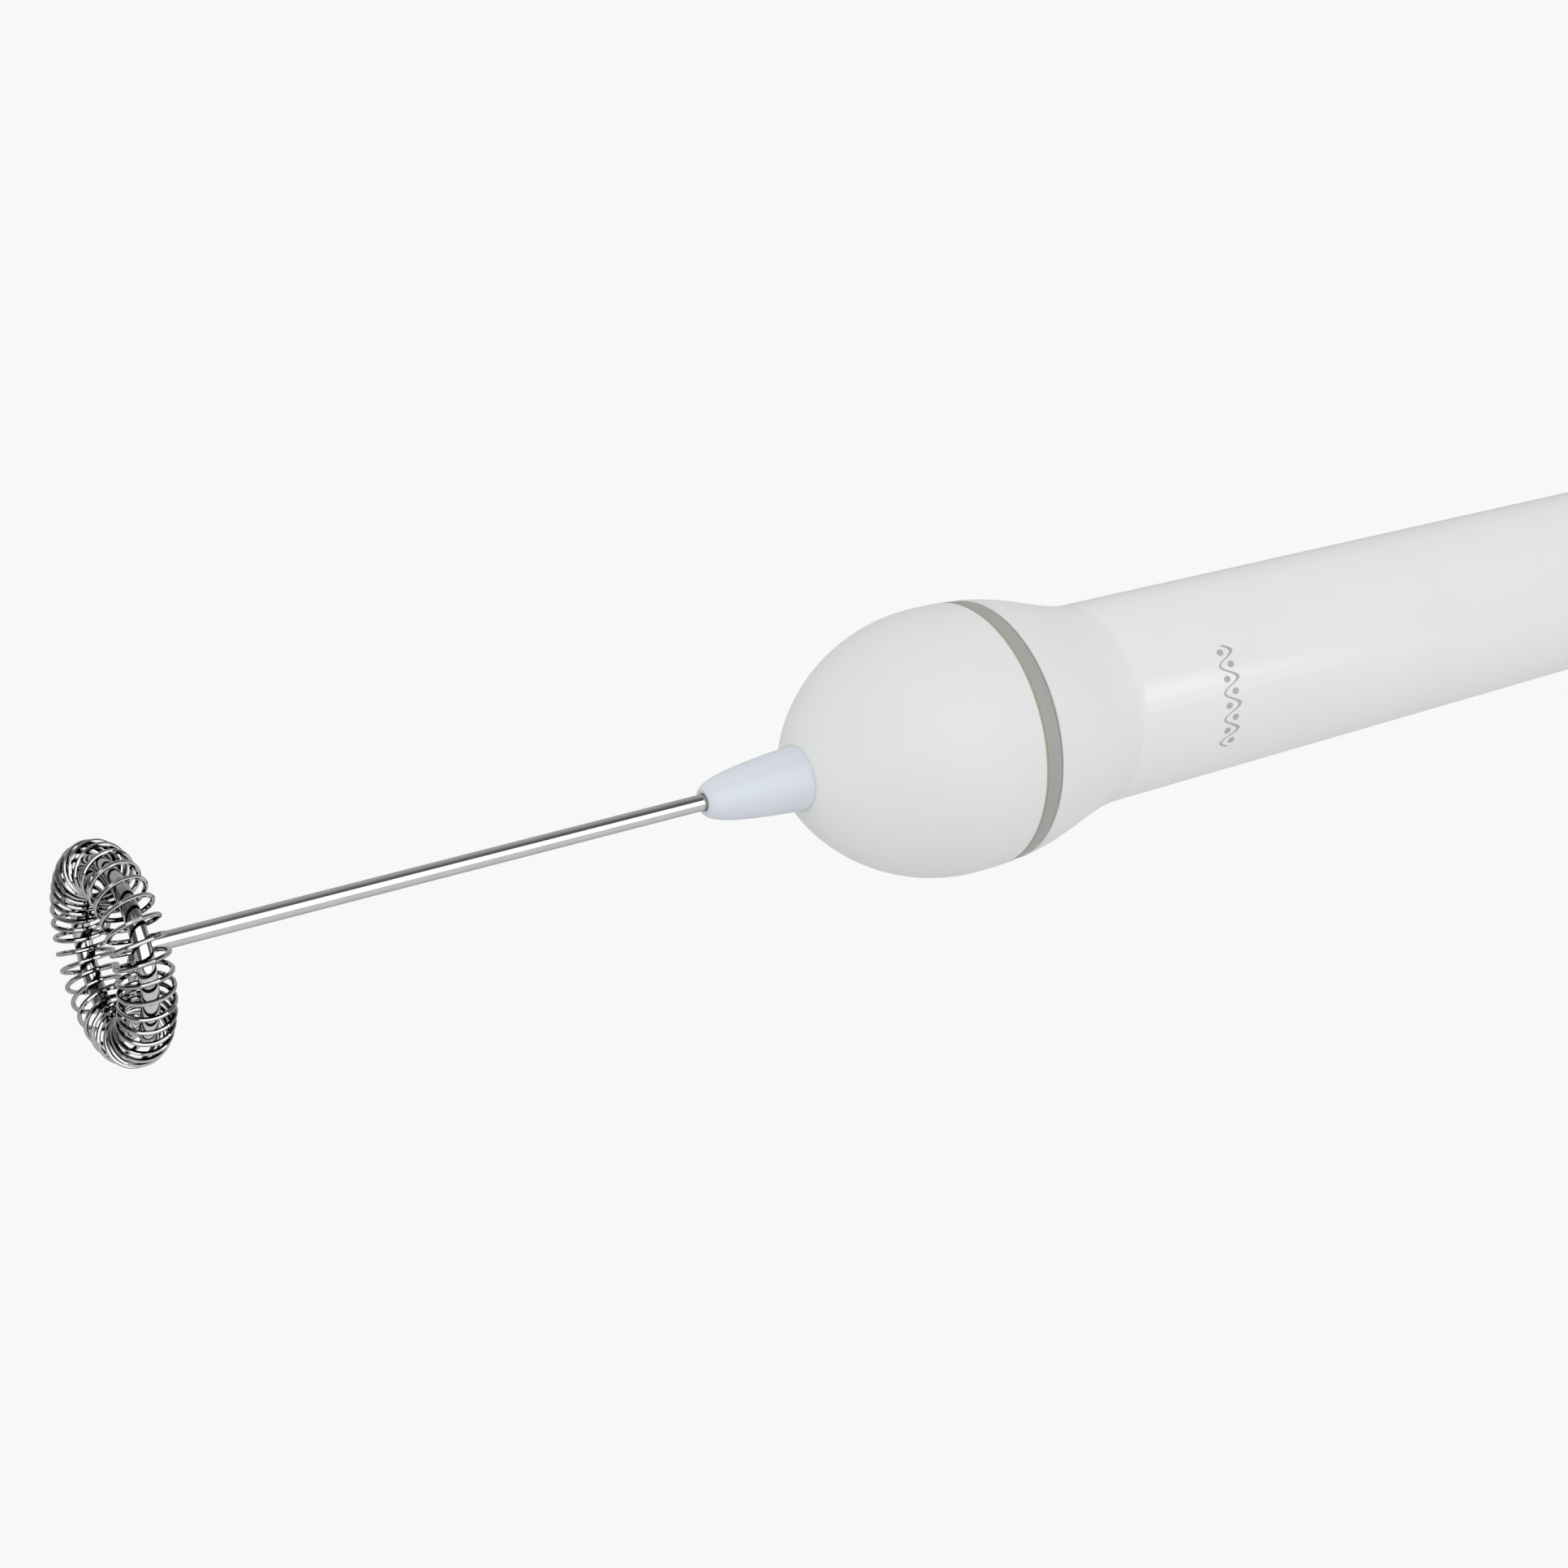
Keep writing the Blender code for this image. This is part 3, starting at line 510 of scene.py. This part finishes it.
def nose_shell():
    """The egg's front half, its lip closed round the nozzle."""
    outside = arc((body_radius(NOSE_END_AT) - EDGE, NOSE_END_AT - EDGE), EDGE, 90, 0, 4)
    outside += [(body_radius(s), s) for s in spaced(NOSE_END_AT - 2 * EDGE, EGG_WIDEST_AT, 6)]
    length = EGG_WIDEST_AT - NOSE_OPENING_AT
    sweep = [EGG_WIDEST_AT - length * math.sin(math.radians(a)) for a in spaced(3, 90, 42)]
    outside += [(body_radius(s), s) for s in sweep]
    touch = NOZZLE_BASE_RADIUS - 0.03
    lip = [(NOZZLE_BASE_RADIUS + 0.12, NOSE_OPENING_AT - 0.2), (touch, NOSE_OPENING_AT - 0.18)]
    inside = [(touch, NOSE_LIP_END_AT)]
    inside += [(body_radius(s - NOSE_WALL) - 0.35, s) for s in (91, 94, 98, 103)]
    inside += [(NOSE_RIM_RADIUS, NOSE_RIM_AT), (NOSE_RIM_RADIUS, NOSE_END_AT)]
    turned("nose", outside + lip + inside, satin_white, "housing", "nose_shell")


def accent_ring():
    """The grey band, lightly rounded at both edges, and the cream line of glue before it."""
    first, last = NOSE_END_AT + GLUE_WIDTH, ACCENT_AT + ACCENT_WIDTH - ACCENT_GAP
    turn = ACCENT_ROUNDING
    outer_first, outer_last = body_radius(first) - ACCENT_GAP, body_radius(last) - ACCENT_GAP
    outline = arc((outer_last - turn, last - turn), turn, 90, 0, 8)
    outline += arc((outer_first - turn, first + turn), turn, 0, -90, 8)
    outline += [(ACCENT_BORE, first), (ACCENT_BORE, last)]
    turned("accent_band", outline, band_grey, "housing", "accent_ring")
    line = [(body_radius(first) - 0.1, first + 0.05)]
    line += [(body_radius(NOSE_END_AT) - 0.09, NOSE_END_AT)]
    line += [(GLUE_BORE, NOSE_END_AT), (GLUE_BORE, first)]
    turned("glue_line", line, seam_cream, "housing")


def neck_collar():
    """The egg's rear half and neck, with spigots into the nose and into the handle."""
    front = ACCENT_AT + ACCENT_WIDTH
    outside = [(SPIGOT_RADIUS, NECK_END_AT), (SPIGOT_RADIUS, SEAM_AT)]
    outside += [(body_radius(s), s) for s in spaced(SEAM_AT, front + 0.16, 40)]
    outside += arc((body_radius(front) - EDGE, front + EDGE), EDGE, 0, -90, 4)
    spigot = [(NECK_SPIGOT_RADIUS, front), (NECK_SPIGOT_RADIUS, NECK_SPIGOT_AT)]
    spigot += [(NECK_SPIGOT_BORE, NECK_SPIGOT_AT), (NECK_SPIGOT_BORE, NECK_SPIGOT_SHOULDER_AT)]
    inside = [(body_radius(s) - NECK_WALL, s) for s in (120, 124, 128)]
    inside += [(NECK_END_BORE, NECK_END_BORE_AT), (NECK_END_BORE, NECK_END_AT)]
    turned("neck", outside + spigot + inside, satin_white, "housing", "neck_collar")


def handle_tube():
    """The glossy handle, which takes over the neck's last curve at the seam."""
    last = CAP_AT - CAP_GAP
    outline = arc((body_radius(last) - EDGE, last - EDGE), EDGE, 90, 0, 4)
    outline += [(body_radius(s), s) for s in spaced(last - 2 * EDGE, CREASE_AT, 12)[:-1]]
    outline += [(body_radius(s), s) for s in spaced(CREASE_AT, SEAM_AT, 6)]
    outline += [(HANDLE_BORE, SEAM_AT), (HANDLE_BORE, last)]
    turned("handle", outline, gloss_white, "housing", "handle_tube")


def end_cap():
    """The tail cap: a spigot, a rounded end and the button's hole."""
    edge = CAP_EDGE_RADIUS
    rim = body_radius(CAP_END_AT - edge)
    outside = arc((rim - edge, CAP_END_AT - edge), edge, 90, 0, 14)
    outside += [(body_radius(s), s) for s in spaced(CAP_END_AT - edge - 0.4, CAP_AT + 2 * EDGE, 5)]
    outside += arc((body_radius(CAP_AT) - EDGE, CAP_AT + EDGE), EDGE, 0, -90, 4)
    outside += [(SPIGOT_RADIUS, CAP_AT), (SPIGOT_RADIUS, CAP_SPIGOT_AT + CAP_SPIGOT_CHAMFER)]
    outside += [(SPIGOT_RADIUS - CAP_SPIGOT_CHAMFER / 2, CAP_SPIGOT_AT)]
    hole = BUTTON_RADIUS + CAP_HOLE_CLEARANCE
    inside = [(CAP_SPIGOT_BORE, CAP_SPIGOT_AT), (CAP_SPIGOT_BORE, CAP_SHOULDER_AT)]
    inside += [(CAP_BORE, CAP_SHOULDER_AT), (CAP_BORE, CAP_FACE_AT), (hole, CAP_FACE_AT)]
    turn = CAP_HOLE_ROUNDING
    lip = arc((hole + turn, CAP_END_AT - turn), turn, 180, 90, 6)
    turned("tail_cap", outside + inside + lip, gloss_white, "tail_cap", "end_cap")


def push_button():
    """The domed button, with a shallow ring groove moulded in its face."""
    top = CAP_END_AT + BUTTON_PROUD
    face = []
    for radius in spaced(0.0, BUTTON_FACE_RADIUS, 25):
        across = (radius - BUTTON_GROOVE_RADIUS) / BUTTON_GROOVE_WIDTH
        groove = BUTTON_GROOVE_DEPTH * math.exp(-(across**2))
        face.append((radius, top - BUTTON_RISE * (radius / BUTTON_RADIUS) ** 2 - groove))
    edge = BUTTON_EDGE_RADIUS
    side = arc((BUTTON_RADIUS - edge, face[-1][1] - edge + 0.02), edge, 78, 0, 9)
    flange = [(BUTTON_RADIUS, BUTTON_FLANGE_END_AT), (BUTTON_FLANGE_RADIUS, BUTTON_FLANGE_END_AT)]
    flange += [(BUTTON_FLANGE_RADIUS, BUTTON_FLANGE_AT), (BUTTON_STEM_RADIUS, BUTTON_FLANGE_AT)]
    stem = [(BUTTON_STEM_RADIUS, BUTTON_STEM_AT), (0, BUTTON_STEM_AT)]
    outline = face + side + flange + stem
    turned("button_cap", outline, button_grey, "button", "push_button", SIDES // 2)


def return_spring():
    """The button's return spring: a helix of wire behind the button, on a mesh of its own."""
    low, high = SPRING_AT + SPRING_WIRE_RADIUS, SPRING_END_AT - SPRING_WIRE_RADIUS
    stations = spaced(low, high, SPRING_TURNS * STEPS_PER_TURN + 1)
    path = [around(SPRING_RADIUS, 360 * i / STEPS_PER_TURN, s) for i, s in enumerate(stations)]
    shape = swept_shape(path, SPRING_WIRE_RADIUS, 12)
    made = add_piece(
        "return_spring", shape, wire_steel, "tail_cap", "button_spring"
    )
    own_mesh(made)


def printed_patch(shape, outline_rows):
    """A thin printed shape: rows of (low, high) stations at rising angles round the handle."""
    rows = []
    for angle, low, high in outline_rows:
        corners = [(low, -INK_DEPTH), (low, INK_HEIGHT), (high, INK_HEIGHT), (high, -INK_DEPTH)]
        rows.append([shape.verts.new(around(body_radius(s) + h, angle, s)) for s, h in corners])
    for one, other in zip(rows, rows[1:]):
        for k in range(4):
            shape.faces.new((one[k], one[(k + 1) % 4], other[(k + 1) % 4], other[k]))
    shape.faces.new(rows[0])
    shape.faces.new(rows[-1][::-1])


def print_mark():
    """A plain ornament printed on the handle: a wavy stem with a leaf in each of its hollows."""
    shape = bmesh.new()
    stem = []
    for share in spaced(0, 1, 241):
        angle = MARK_ANGLE + MARK_REACH * (2 * share - 1)
        phase = math.tau * MARK_WAVES * share
        middle = MARK_AT + MARK_SWING * math.sin(phase)
        half = MARK_STROKE * (1 - MARK_SWELL + MARK_SWELL * math.sin(phase + MARK_SWELL_AHEAD))
        stem.append((angle, middle - half, middle + half))
    printed_patch(shape, stem)
    for number in range(2 * MARK_WAVES):
        share = (number + 0.5) / (2 * MARK_WAVES)
        side = -1 if number % 2 == 0 else 1
        middle = MARK_AT + side * LEAF_OFFSET
        leaf = []
        for along in spaced(-0.98, 0.98, 15):
            half = LEAF_SIZE * math.sqrt(1 - along * along)
            angle = MARK_ANGLE + MARK_REACH * (2 * share - 1) + LEAF_REACH * along
            leaf.append((angle, middle - half, middle + half))
        printed_patch(shape, leaf)
    add_piece("print_mark", shape, mark_ink, "housing")


# ---------------------------------------------------------------- studio
def camera_turn():
    """The camera's rotation, from its azimuth and pitch."""
    azimuth, pitch = math.radians(CAMERA_AZIMUTH), math.radians(CAMERA_PITCH)
    right = Vector((math.cos(azimuth), -math.sin(azimuth), 0))
    level = math.cos(pitch)
    ahead = Vector((level * math.sin(azimuth), level * math.cos(azimuth), -math.sin(pitch)))
    return Matrix((right, right.cross(ahead), -ahead)).transposed()


def add_camera():
    """A camera whose view of the whisk's centre fixes where it stands."""
    data = bpy.data.cameras.new("camera")
    data.sensor_width = CAMERA_SENSOR
    data.lens = CAMERA_LENS
    data.clip_start = 0.01
    made = bpy.data.objects.new("camera", data)
    bpy.context.scene.collection.objects.link(made)
    turn = camera_turn()
    place = TO_WORLD @ Vector((0, 0, 0)) - turn @ CAMERA_TO_WHISK * MM
    made.matrix_world = Matrix.Translation(place) @ turn.to_4x4()
    bpy.context.scene.camera = made


def add_softbox(name, target, direction, distance, width, height, power):
    """A rectangular soft light at a distance from target, facing it."""
    data = bpy.data.lights.new(name, "AREA")
    data.shape = "RECTANGLE"
    data.size, data.size_y = width, height
    data.energy = power
    made = bpy.data.objects.new(name, data)
    bpy.context.scene.collection.objects.link(made)
    back = Vector(direction).normalized()
    made.location = Vector(target) + back * distance
    made.rotation_euler = back.to_track_quat("Z", "Y").to_euler()
    return made


def link_value(tree, source, socket):
    """Sets a socket to a number, or links it to another node's output."""
    if isinstance(source, (int, float)):
        socket.default_value = source
    else:
        tree.links.new(source, socket)


def blend(tree, factor, one, other):
    """One value where factor is 0 and the other where it is 1."""
    node = tree.nodes.new("ShaderNodeMix")
    link_value(tree, factor, node.inputs["Factor"])
    link_value(tree, one, node.inputs["A"])
    link_value(tree, other, node.inputs["B"])
    return node.outputs["Result"]


def map_range(tree, source, start, end, first, last):
    """Maps source from start..end to first..last, smoothly and held beyond the ends."""
    node = tree.nodes.new("ShaderNodeMapRange")
    node.interpolation_type = "SMOOTHSTEP"
    names = ("From Min", "From Max", "To Min", "To Max")
    for name, value in zip(names, (start, end, first, last)):
        node.inputs[name].default_value = value
    tree.links.new(source, node.inputs["Value"])
    return node.outputs["Result"]


def math_node(tree, operation, one, other):
    """One value and another, put together by a named operation."""
    node = tree.nodes.new("ShaderNodeMath")
    node.operation = operation
    link_value(tree, one, node.inputs[0])
    link_value(tree, other, node.inputs[1])
    return node.outputs["Value"]


def direction_parts(tree, output):
    """The X, Y and Z of a coordinate."""
    coordinates = tree.nodes.new("ShaderNodeTexCoord")
    parts = tree.nodes.new("ShaderNodeSeparateXYZ")
    tree.links.new(coordinates.outputs[output], parts.inputs["Vector"])
    return parts.outputs


def studio_strength(tree, diffuse, glossy, camera):
    """How bright the studio is to diffuse, to glossy and to camera rays.

    Rays that have bounced from steel to steel see a black studio, which gives the whisk the
    hard contrast of polished wire.
    """
    rays = tree.nodes.new("ShaderNodeLightPath").outputs
    again = map_range(tree, rays["Glossy Depth"], 1.0, 2.0, 0.0, 1.0)
    glossy = blend(tree, again, glossy, 0.0)
    seen = blend(tree, rays["Is Glossy Ray"], diffuse, glossy)
    return blend(tree, rays["Is Camera Ray"], seen, camera)


def add_floor():
    """An even, bright sweep without shadows, darker in reflections on the whisk's side."""
    shape = bmesh.new()
    bmesh.ops.create_grid(shape, x_segments=1, y_segments=1, size=3.0)
    mesh = bpy.data.meshes.new("floor")
    shape.to_mesh(mesh)
    shape.free()
    floor = bpy.data.objects.new("floor", mesh)
    bpy.context.scene.collection.objects.link(floor)
    white = bpy.data.materials.new("floor_white")
    white.use_nodes = True
    white.cycles.emission_sampling = "NONE"
    tree = white.node_tree
    tree.nodes.clear()
    glow = tree.nodes.new("ShaderNodeEmission")
    output = tree.nodes.new("ShaderNodeOutputMaterial")
    tree.links.new(glow.outputs["Emission"], output.inputs["Surface"])
    place = direction_parts(tree, "Object")
    near = map_range(tree, place["Y"], -0.02, 0.01, FLOOR_BELOW, FLOOR_BACK)
    front = map_range(tree, place["Y"], -0.5, -0.03, 1.0, 0.0)
    glossy = blend(tree, front, near, FLOOR_FRONT)
    left = map_range(tree, place["X"], -0.45, -0.2, 1.0, 0.0)
    glossy = blend(tree, left, glossy, DARK_SIDE)
    strength = studio_strength(tree, FLOOR_DIFFUSE, glossy, BACKDROP)
    link_value(tree, strength, glow.inputs["Strength"])
    mesh.materials.append(white)


def add_world():
    """An even sky, in whose reflections a large window stands on the camera's side."""
    world = bpy.data.worlds.new("studio")
    bpy.context.scene.world = world
    world.use_nodes = True
    world.cycles.sampling_method = "NONE"
    tree = world.node_tree
    ways = direction_parts(tree, "Generated")
    sky = map_range(tree, ways["Y"], -0.3, 0.8, SKY_FRONT, SKY_BACK)
    left = map_range(tree, ways["X"], -0.75, -0.45, 1.0, 0.0)
    glossy = blend(tree, left, sky, DARK_SIDE)
    azimuth = math_node(tree, "ARCTAN2", ways["X"], math_node(tree, "MULTIPLY", ways["Y"], -1.0))
    begins = map_range(tree, azimuth, *map(math.radians, WINDOW_LEFT), 0.0, 1.0)
    ends = map_range(tree, azimuth, *map(math.radians, WINDOW_RIGHT), 1.0, 0.0)
    top = map_range(tree, ways["Z"], *WINDOW_TOP, 1.0, 0.0)
    window = math_node(tree, "MULTIPLY", math_node(tree, "MULTIPLY", begins, ends), top)
    glossy = blend(tree, window, glossy, WINDOW)
    strength = studio_strength(tree, WORLD_DIFFUSE, glossy, BACKDROP)
    link_value(tree, strength, tree.nodes["Background"].inputs["Strength"])
    tree.nodes["Background"].inputs["Color"].default_value = (1, 1, 1, 1)


def add_panel(name, sideways, upwards, radiance):
    """A panel that is only seen in reflections, between two distances each way, in metres."""
    azimuth, elevation = math.radians(PANEL_AZIMUTH), math.radians(PANEL_ELEVATION)
    level = math.cos(elevation)
    direction = Vector((level * math.sin(azimuth), -level * math.cos(azimuth), math.sin(elevation)))
    right = Vector((math.cos(azimuth), math.sin(azimuth), 0))
    up = direction.cross(right)
    target = TO_WORLD @ Vector((0, 0, PANEL_TARGET_AT))
    target += right * sum(sideways) / 2 + up * sum(upwards) / 2
    width, height = sideways[1] - sideways[0], upwards[1] - upwards[0]
    power = radiance * math.pi * width * height
    panel = add_softbox(name, target, direction, PANEL_DISTANCE, width, height, power)
    panel.visible_diffuse = False


def add_lights():
    """Two panels for the handle's reflections, and three soft lights that cast none."""
    add_panel("panel_side", (0.24, 0.30), (-0.15, 0.18), 2.3)
    add_panel("panel_edge", (0.30, 0.345), (-0.15, 0.18), 1.9)
    size, distance, centre = SOFTBOX_SIZE, SOFTBOX_DISTANCE, (0, 0, 0)
    lights = [
        ("key", (-0.1, -0.85, 0.4), 1.3),
        ("right", (0.9, -0.5, 0.2), 1.5),
        ("left", (-1.0, -0.25, 0.3), 1.5),
    ]
    for name, direction, power in lights:
        light = add_softbox(name, centre, direction, distance, size, size, power)
        light.visible_glossy = False


bpy.context.scene.view_settings.view_transform = "Standard"
add_camera()
dress_cad_nodes()
whisk_wire()
whisk_coil()
nozzle()
nose_shell()
accent_ring()
neck_collar()
handle_tube()
print_mark()
end_cap()
push_button()
return_spring()
add_floor()
add_world()
add_lights()
